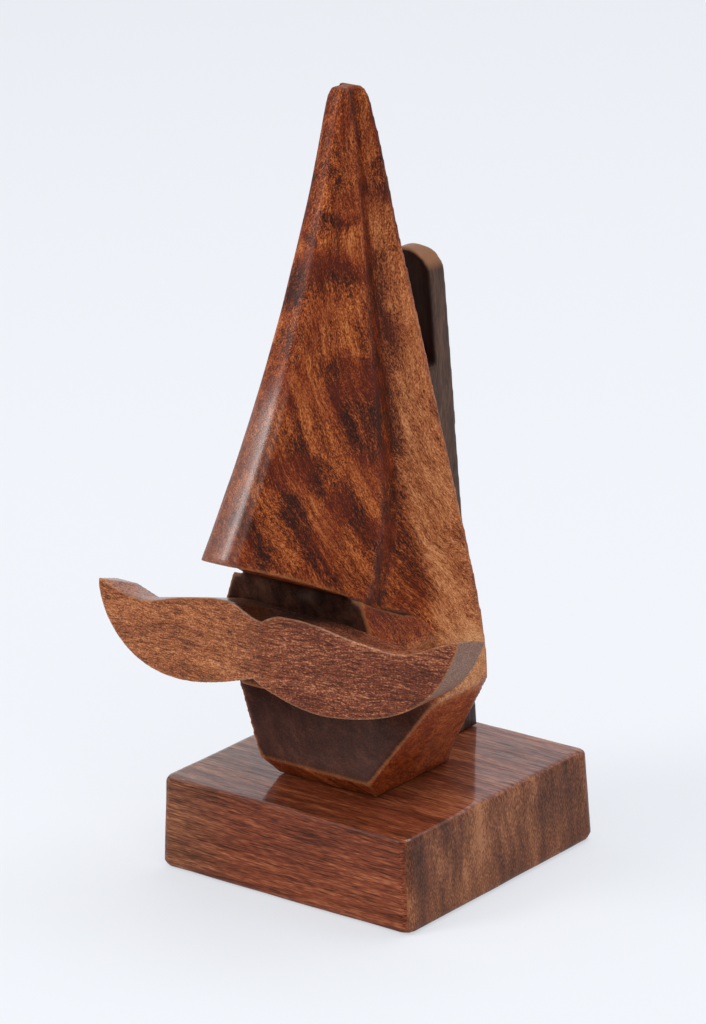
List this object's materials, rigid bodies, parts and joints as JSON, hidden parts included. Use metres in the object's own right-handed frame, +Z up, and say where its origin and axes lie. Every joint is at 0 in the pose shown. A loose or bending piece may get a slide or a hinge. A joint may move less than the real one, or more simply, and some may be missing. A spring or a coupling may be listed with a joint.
{
  "type": "eyeglass holder",
  "caption": "Carved hardwood spectacle stand: a long nose with cheeks and chin on a square base, a moustache board on the lip, and a slotted post behind the nose for folded glasses.",
  "frame": {"origin": "centre of the base's underside, on the surface the holder stands on", "axes": "+Z up, -Y is the way the nose points, +X to the right of someone facing the nose"},
  "size_m": [0.0945, 0.0798, 0.162],
  "materials": {
    "base_wood": "satin lacquer",
    "nose_wood": "gloss lacquer",
    "moustache_wood": "open-pored oil",
    "post_wood": "satin lacquer",
    "dowel_wood": "raw",
    "screw_steel": "zinc plated"
  },
  "bodies": {
    "root": {"base_block": "base_wood", "nose_block": "nose_wood", "moustache": "moustache_wood", "temple_post": "post_wood", "nose_screw_front": "screw_steel", "nose_screw_rear": "screw_steel", "post_screw": "screw_steel", "moustache_dowel_left": "dowel_wood", "moustache_dowel_right": "dowel_wood", "post_dowel_lower": "dowel_wood", "post_dowel_upper": "dowel_wood"}
  },
  "joints": []
}
